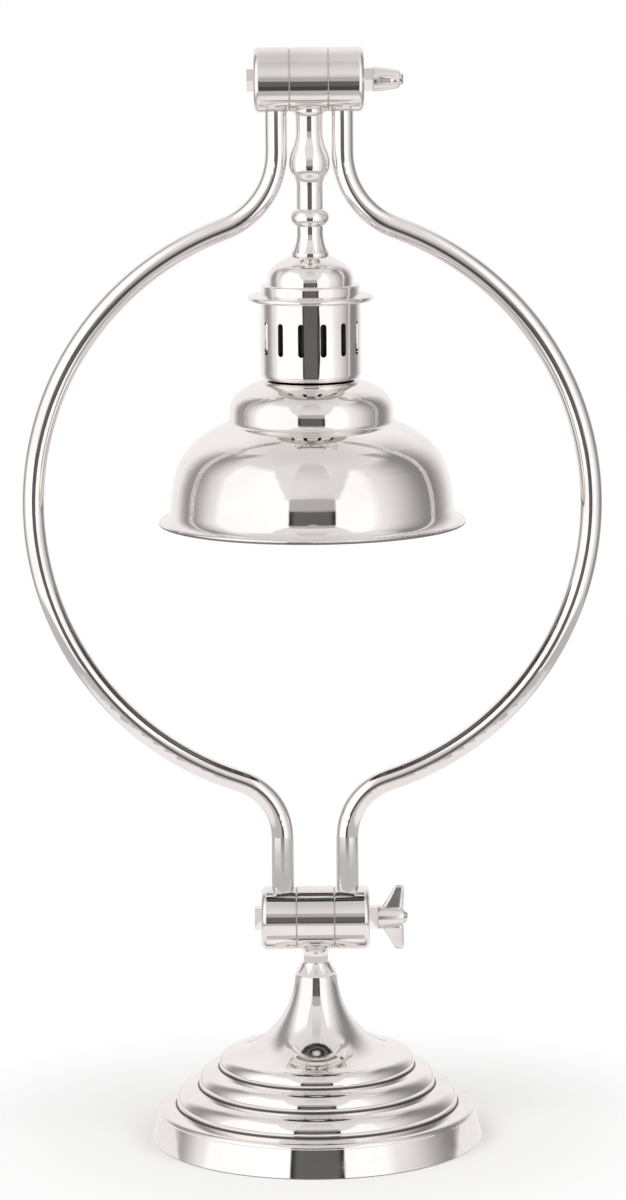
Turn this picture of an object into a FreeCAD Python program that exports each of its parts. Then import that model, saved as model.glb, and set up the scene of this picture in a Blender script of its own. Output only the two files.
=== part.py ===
import FreeCAD, Part
import math
import os
import Sketcher

# A polished table lamp: a stepped round base, a ring of two bent tubes that tilts on it,
# and a bell shade that tilts in the ring. Millimetres, +Z up, the lamp's front faces -Y.
# The origin is the middle of the felt under the base.

SIZES = {
    # Base: a spun shell over a cast weight
    "base_radius": 83.5,
    "base_lift": 0.6,
    "base_wall": 1.0,
    "rim_lean": 3.3,
    "rim_top_height": 14.2,
    "rim_round": 2.8,
    "step_foot": 1.3,
    "first_tread": 9.0,
    "first_tread_rise": 0.6,
    "first_step_round": 8.0,
    "second_tread": 11.4,
    "second_tread_rise": 0.4,
    "second_step_round": 7.6,
    "third_tread": 10.4,
    "third_tread_rise": 0.5,
    "third_step_round": 6.2,
    "flare_tread": 9.8,
    "flare_tread_rise": 0.4,
    "flare_height": 39.4,
    "flare_top_radius": 10.4,
    "flare_bend": 44.0,
    "felt_thickness": 1.6,
    "felt_margin": 0.5,
    "plate_thickness": 1.5,
    "plate_clearance": 1.0,
    "plate_screw_count": 3,
    "plate_screw_circle_radius": 55.0,
    "plate_screw_radius": 2.0,
    "plate_screw_head_radius": 3.9,
    "plate_screw_length": 9.0,
    "plate_screw_clearance": 0.1,
    "weight_foot_gap": 0.1,
    "weight_clearance": 0.9,
    "weight_seat_gap": 0.3,
    "weight_shoulder_height": 3.0,
    "weight_hub_radius": 22.0,
    "weight_hub_rise": 7.6,
    "weight_hub_floor": 8.0,
    "weight_recess_radius": 15.0,
    "lead_slot_clearance": 1.2,
    "cut_margin": 1.0,

    # Tie rod through the base, with its nut and washer
    "rod_wall": 1.5,
    "rod_clearance": 0.1,
    "rod_end_gap": 2.0,
    "nut_flats": 14.0,
    "nut_thickness": 4.0,
    "nut_gap": 0.7,
    "washer_radius": 11.0,
    "washer_thickness": 0.8,
    "thread_clearance": 0.02,
    "collar_margin": 0.5,
    "collar_edge": 1.8,
    "collar_top_margin": 0.9,
    "collar_height": 6.5,
    "collar_bend": 14.0,

    # Leads and the bush where the lead enters
    "lead_radius": 3.2,
    "lead_clearance": 0.3,
    "lead_end_gap": 0.3,
    "lead_hub_gap": 0.6,
    "lead_shift": 1.0,
    "bush_wall": 1.05,
    "bush_flange": 1.6,
    "bush_top_gap": 0.2,
    "bush_foot_gap": 0.5,
    "bush_reach": 3.0,
    "bush_clearance": 0.05,

    # Hinge barrels, the same above and below
    "barrel_radius": 16.0,
    "barrel_wall": 3.6,
    "barrel_hub": 5.6,
    "barrel_end_wall": 3.2,
    "barrel_end_round": 2.8,
    "barrel_edge": 0.4,
    "centre_length": 18.6,
    "side_length": 17.4,
    "centre_web": 3.0,
    "joint_gap": 0.5,
    "joint_washer_margin": 0.7,
    "bolt_radius": 3.0,
    "bolt_running_clearance": 0.05,
    "bolt_side_clearance": 0.2,
    "bolt_flats": 11.0,
    "bolt_head": 3.4,
    "bolt_tip": 1.7,
    "bolt_tip_edge": 0.8,
    "hex_nut_thickness": 4.2,
    "lower_boss_length": 22.7,
    "lower_boss_radius": 6.1,
    "upper_boss_length": 18.5,
    "upper_boss_radius": 6.7,
    "boss_spread": 1.4,
    "boss_spread_height": 3.0,
    "boss_blend": 0.6,
    "boss_bend": 6.0,
    "boss_root": 0.8,
    "boss_thread_end": 1.6,

    # Wing nuts
    "wing_nut_gap": 0.1,
    "wing_nut_length": 13.2,
    "wing_hub_foot": 6.2,
    "wing_hub_top": 4.9,
    "wing_hub_edge": 1.0,
    "wing_span": 33.4,
    "wing_thickness": 3.0,
    "wing_root": 1.6,
    "ear_inset": 0.2,
    "ear_cover": 0.6,
    "ear_rise": 2.0,
    "ear_round": 2.2,
    "ear_tip_width": 3.6,
    "ear_tip_fall": 0.6,
    "ear_foot": 0.4,
    "ear_bend": 26.0,

    # Ring of two bent tubes
    "leg_inset": 6.5,
    "tube_radius": 5.5,
    "tube_wall": 1.0,
    "tube_seat": 0.5,
    "braze_gap": 0.05,
    "ring_bend": 146.9,
    "ring_shift": 7.9,
    "lower_bend": 30.0,
    "lower_leg_length": 29.1,
    "upper_bend": 40.0,
    "upper_leg_length": 22.48,

    # Turned stem, from the hinge's boss down to its foot on the cap
    "stem_top_length": 6.5,
    "swell_radius": 10.2,
    "swell_fall": 16.7,
    "swell_rise": 10.5,
    "stem_neck_radius": 6.6,
    "stem_neck_length": 8.1,
    "bead_cove": 3.0,
    "bead_length": 8.6,
    "bead_relief": 0.26,
    "stem_waist_radius": 6.6,
    "stem_waist_length": 3.8,
    "stem_foot_radius": 9.4,
    "stem_foot_length": 9.2,
    "stem_foot_edge": 1.6,
    "stem_foot_bend": 17.0,
    "stem_bore_clearance": 0.4,
    "nipple_rise": 10.0,
    "nipple_drop": 14.0,
    "nipple_end_gap": 0.5,

    # Cap over the vent collar
    "cap_wall": 0.8,
    "cap_flat_radius": 9.2,
    "cap_mid_inset": 3.9,
    "cap_mid_drop": 4.4,
    "cap_dome_drop": 7.6,
    "cap_foot_drop": 2.0,
    "cap_step_width": 3.3,
    "cap_step_round": 1.4,
    "cap_step_drop": 4.8,
    "brim_reach": 5.0,
    "brim_drop": 1.7,
    "brim_bead": 1.35,

    # Vent collar with its slots
    "vent_height": 42.5,
    "vent_margin": 0.3,
    "vent_wall": 0.8,
    "vent_round": 3.2,
    "vent_top_gap": 0.2,
    "vent_seat_gap": 0.05,
    "slot_count": 14,
    "slot_width": 3.1,
    "slot_drop": 13.0,
    "slot_length": 16.4,
    "slot_turn": 14.5,

    # Shade, from its hole out to its lip
    "shade_wall": 1.0,
    "shade_hole_gap": 0.2,
    "dome_top_width": 10.5,
    "dome_top_drop": 1.7,
    "dome_side_width": 8.6,
    "dome_side_drop": 4.8,
    "dome_foot_width": 4.53,
    "dome_foot_drop": 9.3,
    "waist_height": 3.0,
    "waist_round_width": 2.02,
    "waist_round_drop": 3.0,
    "bowl_top_width": 15.45,
    "bowl_top_drop": 9.3,
    "bowl_side_width": 7.8,
    "bowl_side_drop": 10.4,
    "wall_top_width": 3.1,
    "wall_top_drop": 9.7,
    "wall_foot_width": 1.3,
    "wall_foot_drop": 11.8,
    "lip_width": 5.0,
    "lip_drop": 7.5,
    "lip_bend": 8.3,
    "rim_bead": 1.2,

    # Lampholder
    "holder_bore": 14.3,
    "holder_wall": 2.6,
    "holder_shoulder": 2.4,
    "holder_reach": 12.2,
    "holder_bore_depth": 29.5,
    "holder_hole": 3.0,
    "holder_cap_gap": 0.2,
    "holder_cap_flat": 9.5,
    "holder_cap_drop": 7.0,
    "holder_cap_height": 9.0,
    "holder_cap_skirt": 7.0,
    "holder_top_gap": 1.0,
    "screw_shell_gap": 0.1,
    "screw_shell_wall": 0.5,
    "screw_shell_recess": 4.5,
    "contact_radius": 4.0,
    "contact_thickness": 1.0,
    "terminal_count": 2,
    "terminal_radius": 3.0,
    "terminal_offset": 12.0,
    "terminal_height": 2.4,
    "shade_ring_width": 4.3,
    "shade_ring_height": 5.0,
    "shade_ring_gap": 0.3,

    # Bulb
    "bulb_radius": 22.5,
    "bulb_shoulder_radius": 15.06,
    "bulb_wall": 1.0,
    "bulb_length": 49.0,
    "bulb_neck_gap": 0.4,
    "bulb_neck_insert": 5.0,
    "bulb_cap_gap": 0.5,
    "bulb_cap_wall": 0.5,
    "bulb_cap_length": 22.0,
    "bulb_cap_cone": 2.4,
    "bulb_insulator_radius": 8.6,
    "bulb_insulator_height": 3.8,
    "bulb_tip_radius": 4.6,
    "bulb_tip_thickness": 1.6,
    "bulb_tip_gap": 0.2,
}

doc = FreeCAD.newDocument("TableLamp")
sheet = doc.addObject("Spreadsheet::Sheet", "Sizes")
for row, (name, value) in enumerate(SIZES.items(), start=1):
    sheet.set("A%d" % row, name)
    sheet.set("B%d" % row, str(value))
    sheet.setAlias("B%d" % row, name)
doc.recompute()


class Size:
    """A length that knows its number and the expression that gives it."""

    def __init__(self, number, text=None):
        self.number = float(number)
        self.text = text or "%.6f" % number

    def joined(self, other, sign, number):
        return Size(number, "(%s %s %s)" % (self.text, sign, other.text))

    def __add__(self, other):
        other = as_size(other)
        return self.joined(other, "+", self.number + other.number)

    def __sub__(self, other):
        other = as_size(other)
        return self.joined(other, "-", self.number - other.number)

    def __rsub__(self, other):
        return as_size(other) - self

    def __mul__(self, other):
        other = as_size(other)
        return self.joined(other, "*", self.number * other.number)

    def __truediv__(self, other):
        other = as_size(other)
        return self.joined(other, "/", self.number / other.number)

    def __neg__(self):
        return Size(-self.number, "(0 - %s)" % self.text)

    def root(self):
        return Size(math.sqrt(self.number), "sqrt(%s)" % self.text)


def as_size(value):
    return value if isinstance(value, Size) else Size(value)


class Sheet:
    """The spreadsheet's cells as sizes, by their names."""

    def __init__(self):
        for cell in SIZES:
            setattr(self, cell, Size(getattr(sheet, cell), "Sizes." + cell))


s = Sheet()
SMOOTH = "smooth"


def turn_between(start, end, bend):
    """Direction at both ends of a line or arc, in radians, with bend its signed radius."""
    along = math.atan2(end[1] - start[1], end[0] - start[0])
    if bend is None:
        return along, along
    half = math.asin(math.dist(start, end) / 2 / bend)
    return along - half, along + half


def settle(corners):
    """Give each smooth arc the radius that carries on from the edge before it."""
    settled = []
    heading = 0.0
    before = None
    for corner in corners:
        place = (as_size(corner[0]), as_size(corner[1]))
        bend = corner[2] if len(corner) > 2 else None
        here = (place[0].number, place[1].number)
        if bend == SMOOTH:
            along = math.atan2(here[1] - before[1], here[0] - before[0])
            half = (along - heading + math.pi) % (2 * math.pi) - math.pi
            bend = math.dist(before, here) / 2 / math.sin(half)
        bend = None if bend is None else as_size(bend)
        if before is not None:
            heading = turn_between(before, here, bend.number if bend else None)[1]
        settled.append((place[0], place[1], bend))
        before = here
    return settled


def skin(corners, wall):
    """Turn an open line of corners into a closed outline, with its wall on the left."""
    outer = settle(corners)
    places = [(u.number, v.number) for u, v, _ in outer]
    turns = [turn_between(places[k], places[k + 1], outer[k + 1][2].number if outer[k + 1][2] else None)
             for k in range(len(outer) - 1)]
    inner = []
    for k, (u, v, bend) in enumerate(outer):
        arriving = turns[k - 1][1] if k else turns[0][0]
        leaving = turns[k][0] if k < len(turns) else turns[-1][1]
        swing = (leaving - arriving + math.pi) % (2 * math.pi) - math.pi
        aim = arriving + swing / 2 + math.pi / 2
        reach = 1 / math.cos(swing / 2)
        inner.append((u + wall * (reach * math.cos(aim)), v + wall * (reach * math.sin(aim))))
    outline = list(outer) + [inner[-1]]
    for k in range(len(inner) - 2, -1, -1):
        bend = outer[k + 1][2]
        outline.append(inner[k] if bend is None else (inner[k][0], inner[k][1], wall - bend))
    return outline


def draw(sketch, corners, closed=True):
    """Draw an outline through its corners and tie each corner and arc to the sheet."""
    settled = settle(corners)
    rules = []
    ends = []
    first_edge = 0 if closed else 1
    for k in range(first_edge, len(settled)):
        u0, v0, _ = settled[k - 1]
        u1, v1, bend = settled[k]
        start = FreeCAD.Vector(u0.number, v0.number, 0)
        end = FreeCAD.Vector(u1.number, v1.number, 0)
        if bend is None:
            edge = sketch.addGeometry(Part.LineSegment(start, end))
            ends.append((edge, 1, 2))
        else:
            half = (end - start) * 0.5
            rise = math.sqrt(max(bend.number ** 2 - half.Length ** 2, 0))
            side = FreeCAD.Vector(-half.y, half.x, 0).normalize() * math.copysign(rise, bend.number)
            centre = start + half + side
            angles = [math.atan2(p.y - centre.y, p.x - centre.x) for p in (start, end)]
            if bend.number < 0:
                angles.reverse()
            circle = Part.Circle(centre, FreeCAD.Vector(0, 0, 1), abs(bend.number))
            edge = sketch.addGeometry(Part.ArcOfCircle(circle, angles[0], angles[1]))
            ends.append((edge, 1, 2) if bend.number > 0 else (edge, 2, 1))
            rules.append((Sketcher.Constraint("Radius", edge, abs(bend.number)), "abs(%s)" % bend.text))
        tail = ends[-1][2]
        rules.append((Sketcher.Constraint("DistanceX", edge, tail, u1.number), u1.text))
        rules.append((Sketcher.Constraint("DistanceY", edge, tail, v1.number), v1.text))
    links = list(zip(ends, ends[1:] + ends[:1])) if closed else list(zip(ends, ends[1:]))
    for (edge, _, tail), (following, head, _) in links:
        rules.append((Sketcher.Constraint("Coincident", edge, tail, following, head), None))
    if not closed:
        edge, head, _ = ends[0]
        u, v, _ = settled[0]
        rules.append((Sketcher.Constraint("DistanceX", edge, head, u.number), u.text))
        rules.append((Sketcher.Constraint("DistanceY", edge, head, v.number), v.text))
    base = sketch.ConstraintCount
    sketch.addConstraint([rule for rule, _ in rules])
    for k, (_, text) in enumerate(rules):
        if text is not None:
            sketch.setExpression("Constraints[%d]" % (base + k), text)


def new_body(label, height=None):
    """Start a sub-part, its own origin lifted to the given height."""
    body = doc.addObject("PartDesign::Body", label)
    body.Label = label
    if height is not None:
        body.setExpression("Placement.Base.z", height.text)
    return body


def datum(body, role):
    return next(part for part in body.Origin.OriginFeatures if part.Role == role)


def new_sketch(body, plane="XZ_Plane", **shift):
    """Start a sketch on one of the body's own planes, shifted within or off that plane."""
    sketch = body.newObject("Sketcher::SketchObject", body.Label + "_sketch")
    sketch.AttachmentSupport = [(datum(body, plane), "")]
    sketch.MapMode = "FlatFace"
    for axis, size in shift.items():
        sketch.setExpression("AttachmentOffset.Base." + axis, size.text)
    return sketch


def spin(body, outlines, kind="PartDesign::Revolution", axis="V_Axis", plane="XZ_Plane", **shift):
    """Add or cut the solid that the outlines sweep when they turn once round the axis."""
    sketch = new_sketch(body, plane, **shift)
    for outline in outlines:
        draw(sketch, outline)
    doc.recompute()
    feature = body.newObject(kind, body.Label + "_spin")
    feature.Profile = sketch
    feature.ReferenceAxis = (sketch, [axis])
    feature.Angle = 360
    doc.recompute()
    return feature


def extrude(body, outline, length, kind="PartDesign::Pad", plane="XZ_Plane", both=False, flip=False, **shift):
    """Add or cut a straight length of the outline's section."""
    sketch = new_sketch(body, plane, **shift)
    draw(sketch, outline)
    doc.recompute()
    feature = body.newObject(kind, body.Label + "_length")
    feature.Profile = sketch
    feature.setExpression("Length", length.text)
    feature.Midplane = both
    feature.Reversed = flip
    doc.recompute()
    return feature


def repeat(body, feature, count, axis="Z_Axis"):
    """Repeat a feature evenly round one of the body's axes."""
    pattern = body.newObject("PartDesign::PolarPattern", body.Label + "_pattern")
    pattern.Originals = [feature]
    pattern.Axis = (datum(body, axis), [""])
    pattern.Angle = 360
    pattern.setExpression("Occurrences", count.text)
    body.Tip = pattern
    doc.recompute()
    return pattern


def turned(label, *outlines, height=None, axis="V_Axis"):
    """A sub-part that is turned in one go."""
    body = new_body(label, height)
    spin(body, outlines, axis=axis)
    return body


def box_outline(inner, outer, low, high):
    """The four corners of a plain ring or disc in section."""
    return [(inner, low), (outer, low), (outer, high), (inner, high)]


def hexagon(flats):
    """Six corners across the given flats, with two flats level."""
    corner = flats / math.sqrt(3)
    return [(corner * math.cos(math.radians(60 * k)), corner * math.sin(math.radians(60 * k)))
            for k in range(6)]


def circle_outline(radius):
    """A round hole or rod as four quarter arcs."""
    return [(radius, 0, radius), (0, radius, radius), (-radius, 0, radius), (0, -radius, radius)]


def on_side(side, outline, flipped=0):
    """The outline on one side of the middle, its arcs turned over with it on side -1."""
    result = []
    for corner in outline:
        place = [as_size(corner[0]), as_size(corner[1])]
        place[flipped] = place[flipped] * side
        result.append(tuple(place + [as_size(bend) * side for bend in corner[2:]]))
    return result


# Base

rod_bore = s.lead_radius + s.lead_clearance
rod_radius = rod_bore + s.rod_wall
rod_hole = rod_radius + s.rod_clearance
rod_thread = rod_radius + s.thread_clearance


def next_step(corner, rounding, tread, rise):
    """Foot of the step that follows a step's upright, rounding and tread."""
    return corner[0] - tread, corner[1] + s.step_foot + rounding + rise


rim_top_radius = s.base_radius - s.rim_lean
rim_round_top = s.rim_top_height + s.rim_round
first_step = (rim_top_radius - s.first_tread, rim_round_top + s.first_tread_rise)
second_step = next_step(first_step, s.first_step_round, s.second_tread, s.second_tread_rise)
third_step = next_step(second_step, s.second_step_round, s.third_tread, s.third_tread_rise)
flare_foot = next_step(third_step, s.third_step_round, s.flare_tread, s.flare_tread_rise)
flare_top = flare_foot[1] + s.flare_height
collar_top = flare_top + s.collar_height
lower_axis = collar_top + s.lower_boss_length

barrel_cavity = s.barrel_radius - s.barrel_wall
barrel_inside_low = lower_axis - barrel_cavity
plate_low = s.felt_thickness
plate_high = plate_low + s.plate_thickness
plate_radius = s.base_radius - s.base_wall - s.plate_clearance
weight_top = second_step[1] - s.base_wall - s.weight_clearance
weight_hub_top = weight_top + s.weight_hub_rise
recess_top = weight_hub_top - s.weight_hub_floor
nut_high = recess_top - s.washer_thickness
nut_low = nut_high - s.nut_thickness
rod_low = nut_low - s.nut_gap
bush_radius = s.lead_radius + s.bush_clearance + s.bush_wall
bush_flange_radius = (s.rim_top_height - plate_high - s.bush_top_gap - s.bush_foot_gap) / 2
bush_height = s.rim_top_height - s.bush_top_gap - bush_flange_radius
bush_seat = rim_top_radius - s.base_wall
bush_face = bush_seat + s.bush_reach


def rounded_step(corner, rounding):
    """One step of the base: a short upright, then a quarter round."""
    radius, height = corner
    foot = height + s.step_foot
    return [(radius, height), (radius, foot), (radius - rounding, foot + rounding, rounding)]


def build_base_shell():
    body = new_body("base_shell")
    outside = [(s.base_radius, s.base_lift), (rim_top_radius, s.rim_top_height),
               (rim_top_radius - s.rim_round, rim_round_top, s.rim_round)]
    outside += rounded_step(first_step, s.first_step_round)
    outside += rounded_step(second_step, s.second_step_round)
    outside += rounded_step(third_step, s.third_step_round)
    outside += [flare_foot, (s.flare_top_radius, flare_top, -s.flare_bend), (rod_hole, flare_top)]
    spin(body, [skin(outside, s.base_wall)])
    extrude(body, circle_outline(bush_radius + s.bush_clearance), s.base_radius + s.cut_margin,
            kind="PartDesign::Pocket", y=bush_height)


def build_weight():
    body = new_body("base_weight")
    low = plate_high + s.weight_foot_gap
    rim = rim_top_radius - s.base_wall - s.weight_clearance
    first = rim_round_top - s.base_wall - s.weight_seat_gap
    side = first_step[0] - s.base_wall - s.weight_clearance
    spin(body, [[(s.weight_recess_radius, low), (rim, low), (rim, s.rim_top_height),
                 (rim - s.rim_round, first), (side, first), (side, first + s.weight_shoulder_height),
                 (side - s.first_step_round, weight_top), (s.weight_hub_radius, weight_top),
                 (s.weight_hub_radius, weight_hub_top), (rod_hole, weight_hub_top),
                 (rod_hole, recess_top), (s.weight_recess_radius, recess_top)]])
    half = bush_flange_radius + s.lead_slot_clearance
    extrude(body, [(-half, 0), (half, 0), (half, s.rim_top_height), (-half, s.rim_top_height)],
            s.base_radius, kind="PartDesign::Pocket")
    hole = spin(body, [box_outline(0, s.plate_screw_radius + s.thread_clearance, 0,
                                   plate_low + s.plate_screw_length + s.cut_margin)],
                kind="PartDesign::Groove", x=s.plate_screw_circle_radius)
    repeat(body, hole, s.plate_screw_count)


def build_plate():
    """The closing plate and its countersunk screws."""
    body = new_body("base_plate")
    spin(body, [box_outline(0, plate_radius, plate_low, plate_high)])
    head = s.plate_screw_head_radius + s.plate_screw_clearance
    shank = s.plate_screw_radius + s.plate_screw_clearance
    below = plate_low - s.cut_margin
    hole = spin(body, [[(0, below), (head, below), (head, plate_low), (shank, plate_high),
                        (0, plate_high)]],
                kind="PartDesign::Groove", x=s.plate_screw_circle_radius)
    repeat(body, hole, s.plate_screw_count)
    screws = new_body("base_plate_screws")
    tip = plate_low + s.plate_screw_length
    screw = spin(screws, [[(0, plate_low), (s.plate_screw_head_radius, plate_low),
                           (s.plate_screw_radius, plate_high), (s.plate_screw_radius, tip), (0, tip)]],
                 x=s.plate_screw_circle_radius)
    repeat(screws, screw, s.plate_screw_count)


def build_hex_nut(label, low, bore, height=None):
    """A thin hexagon nut about the vertical axis."""
    body = new_body(label, height)
    extrude(body, hexagon(s.nut_flats), s.nut_thickness, plane="XY_Plane", z=low)
    spin(body, [box_outline(0, bore, low - s.cut_margin, low + s.nut_thickness + s.cut_margin)],
         kind="PartDesign::Groove")


def build_base():
    felt = plate_radius - s.felt_margin
    turned("felt_pad", box_outline(0, felt, 0, s.felt_thickness))
    build_plate()
    build_weight()
    build_base_shell()
    turned("base_washer", box_outline(rod_hole, s.washer_radius, nut_high, recess_top))
    build_hex_nut("base_locknut", nut_low, rod_thread)
    turned("tie_rod", box_outline(rod_bore, rod_radius, rod_low, barrel_inside_low - s.rod_end_gap))
    collar = s.flare_top_radius - s.collar_margin
    turned("neck_collar", [(rod_hole, flare_top), (collar, flare_top),
                           (collar, flare_top + s.collar_edge),
                           (s.lower_boss_radius + s.collar_top_margin, collar_top, -s.collar_bend),
                           (rod_hole, collar_top)])


def build_bush():
    """The bush where the lead enters, turned about a line from back to front."""
    body = new_body("cord_bush")
    bore = s.lead_radius + s.bush_clearance
    inner_face = bush_seat - s.bush_flange
    spin(body, [[(inner_face, bore), (bush_face, bore), (bush_face, bush_radius),
                 (bush_seat, bush_radius), (bush_seat, bush_flange_radius),
                 (inner_face, bush_flange_radius)]],
         plane="YZ_Plane", axis="H_Axis", y=bush_height)


def build_pipe(label, path, radius, bore=None, height=None, plane="XZ_Plane", start="XY_Plane", **shift):
    """A tube or a solid lead along a path, its section drawn where the path starts."""
    body = new_body(label, height)
    for kind, size in (("Additive", radius), ("Subtractive", bore)):
        if size is None:
            continue
        route = new_sketch(body, plane)
        draw(route, path, closed=False)
        section = new_sketch(body, start, **shift)
        draw(section, circle_outline(size))
        doc.recompute()
        pipe = body.newObject("PartDesign::%sPipe" % kind, label + "_" + kind.lower())
        pipe.Profile = section
        pipe.Spine = route
        doc.recompute()


def build_base_lead():
    """The lead from the bush to the centre, then up inside the tie rod."""
    bend = rod_low - bush_height
    build_pipe("base_lead", [(bush_face, bush_height), (bend, bush_height),
                             (0, rod_low, -bend), (0, barrel_inside_low - s.lead_end_gap)],
               s.lead_radius, plane="YZ_Plane", start="XZ_Plane", y=bush_height, z=-bush_face)


# Hinge barrels

side_start = s.centre_length / 2 + s.joint_gap
barrel_end = side_start + s.side_length
nut_end = barrel_end + s.hex_nut_thickness
wing_start = nut_end + s.wing_nut_gap
wing_end = wing_start + s.wing_nut_length
bolt_end = wing_end + s.bolt_tip
leg_offset = side_start + s.leg_inset


def build_side_knuckle(label, height, side, tube_side):
    """A cup with a hub round the bolt, closed at the barrel's end and open at the joint."""
    body = new_body(label, height)
    bore = s.bolt_radius + s.bolt_side_clearance
    edge = s.barrel_edge
    rounding = s.barrel_end_round
    floor = barrel_end - s.barrel_end_wall
    cup = [(side_start, bore), (side_start, s.barrel_hub), (floor, s.barrel_hub),
           (floor, barrel_cavity), (side_start, barrel_cavity),
           (side_start, s.barrel_radius - edge), (side_start + edge, s.barrel_radius),
           (barrel_end - rounding, s.barrel_radius),
           (barrel_end, s.barrel_radius - rounding, -rounding), (barrel_end, bore)]
    spin(body, [on_side(side, cup)], axis="H_Axis")
    extrude(body, circle_outline(s.tube_radius + s.braze_gap), s.barrel_radius + s.cut_margin,
            kind="PartDesign::Pocket", plane="XY_Plane", flip=tube_side > 0, x=leg_offset * side)


def build_centre_knuckle(label, height, boss_length, boss_radius, bore):
    """A barrel section with a web, a hub round the bolt, and a boss below it."""
    body = new_body(label, height)
    half = s.centre_length / 2
    web = s.centre_web / 2
    hole = s.bolt_radius + s.bolt_running_clearance
    edge = s.barrel_edge
    right = [(half, hole), (half, s.barrel_hub), (web, s.barrel_hub), (web, barrel_cavity),
             (half, barrel_cavity), (half, s.barrel_radius - edge), (half - edge, s.barrel_radius)]
    spin(body, [right + on_side(-1, reversed(right))], axis="H_Axis")
    root = -(barrel_cavity + s.boss_root)
    spread = boss_radius + s.boss_spread
    spin(body, [[(0, -boss_length), (boss_radius, -boss_length),
                 (boss_radius, -(s.barrel_radius + s.boss_spread_height)),
                 (spread, s.boss_blend - s.barrel_radius, -s.boss_bend), (spread, root), (0, root)]])
    below = -boss_length - s.cut_margin
    thread_end = -(barrel_cavity + s.boss_thread_end)
    for size, end in ((bore, thread_end), (rod_bore, s.cut_margin - barrel_cavity)):
        spin(body, [box_outline(0, size, below, end)], kind="PartDesign::Groove")


def build_hinge(name, height, tube_side):
    """Everything on one hinge bolt, apart from the centre knuckle."""
    build_side_knuckle(name + "_left_knuckle", height, -1, tube_side)
    build_side_knuckle(name + "_right_knuckle", height, 1, tube_side)
    washer = box_outline(s.centre_length / 2, side_start, barrel_cavity,
                         s.barrel_radius - s.joint_washer_margin)
    turned(name + "_friction_washers", on_side(-1, washer), washer, height=height, axis="H_Axis")
    bolt = new_body(name + "_hinge_bolt", height)
    edge = s.bolt_tip_edge
    spin(bolt, [[(-barrel_end, 0), (bolt_end, 0), (bolt_end, s.bolt_radius - edge),
                 (bolt_end - edge, s.bolt_radius), (-barrel_end, s.bolt_radius)]], axis="H_Axis")
    extrude(bolt, hexagon(s.bolt_flats), s.bolt_head, plane="YZ_Plane", flip=True, z=-barrel_end)
    nut = new_body(name + "_hex_nut", height)
    extrude(nut, hexagon(s.bolt_flats), s.hex_nut_thickness, plane="YZ_Plane", z=barrel_end)
    spin(nut, [box_outline(barrel_end - s.cut_margin, nut_end + s.cut_margin, 0,
                           s.bolt_radius + s.thread_clearance)],
         kind="PartDesign::Groove", axis="H_Axis")


def build_wing_nut(label, height, plane):
    """A hub with two ears that rise away from the barrel."""
    body = new_body(label, height)
    bore = s.bolt_radius + s.bolt_running_clearance
    edge = s.wing_hub_edge
    root = wing_start + s.wing_root
    spin(body, [[(wing_start, bore), (wing_start, s.wing_hub_foot), (root, s.wing_hub_foot),
                 (wing_end - s.wing_root, s.wing_hub_top), (wing_end, s.wing_hub_top - edge),
                 (wing_end, bore)]], axis="H_Axis")
    tip = s.wing_span / 2
    out = wing_end - s.ear_inset
    inside = bore + s.ear_cover
    soft = s.ear_round
    ear = [(root, inside), (out - edge, inside), (out, s.wing_hub_top + s.ear_rise),
           (out, tip - soft), (out - soft, tip, soft),
           (wing_end - s.ear_tip_width, tip - s.ear_tip_fall, soft * 2),
           (root, s.wing_hub_foot - s.ear_foot, s.ear_bend)]
    for side in (1, -1):
        extrude(body, on_side(side, ear, flipped=1), s.wing_thickness, plane=plane, both=True)


# Ring


def ring_rise(bend):
    """Height between the ring's centre and the end of a leg's bend."""
    across = leg_offset + s.ring_shift + bend
    span = s.ring_bend + bend
    return (span * span - across * across).root()


tube_insert = barrel_cavity + s.tube_seat
ring_centre = tube_insert + s.lower_leg_length + ring_rise(s.lower_bend)
hinge_distance = ring_centre + ring_rise(s.upper_bend) + s.upper_leg_length + tube_insert
upper_axis = lower_axis + hinge_distance


def tube_path(side, end_gap, shift):
    """Leg, bend, ring, bend, leg; shift moves the line outwards, parallel to itself."""
    leg = leg_offset + shift
    ring = s.ring_bend + shift
    corners = [(leg, end_gap)]
    for bend, way in ((s.lower_bend, -1), (s.upper_bend, 1)):
        rise = ring_rise(bend)
        share = ring / (s.ring_bend + bend)
        across = share * (leg_offset + s.ring_shift + bend)
        meeting = (across - s.ring_shift, ring_centre + share * rise * way)
        leg_end = (leg, ring_centre + rise * way)
        turn = shift - bend
        corners += [leg_end, meeting + (turn,)] if way < 0 else [meeting + (ring,), leg_end + (turn,)]
    corners.append((leg, hinge_distance - end_gap))
    return on_side(side, corners)


def build_ring():
    straight = as_size(0)
    for side, name in ((-1, "ring_tube_left"), (1, "ring_tube_right")):
        build_pipe(name, tube_path(side, tube_insert, straight), s.tube_radius,
                   bore=s.tube_radius - s.tube_wall, height=lower_axis, x=leg_offset * side, z=tube_insert)
    lead_end = s.barrel_hub + s.lead_hub_gap
    build_pipe("ring_lead", tube_path(1, lead_end, s.lead_shift), s.lead_radius, height=lower_axis,
               x=leg_offset + s.lead_shift, z=lead_end)


# Head, measured down from the upper hinge

stem_top = -s.upper_boss_length
swell_high = stem_top - s.stem_top_length
swell_middle = swell_high - s.swell_fall
swell_low = swell_middle - s.swell_rise
neck_low = swell_low - s.stem_neck_length
bead_high = neck_low - s.bead_cove
bead_low = bead_high - s.bead_length
waist_low = bead_low - s.stem_waist_length
foot_high = waist_low - s.stem_foot_length
cap_top = foot_high - s.stem_foot_edge
cap_mid = cap_top - s.cap_mid_drop
cap_dome_low = cap_mid - s.cap_dome_drop
cap_foot = cap_dome_low - s.cap_foot_drop
brim_high = cap_foot - s.cap_step_drop
brim_low = brim_high - s.brim_drop
shade_top = brim_high - s.vent_height

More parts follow.
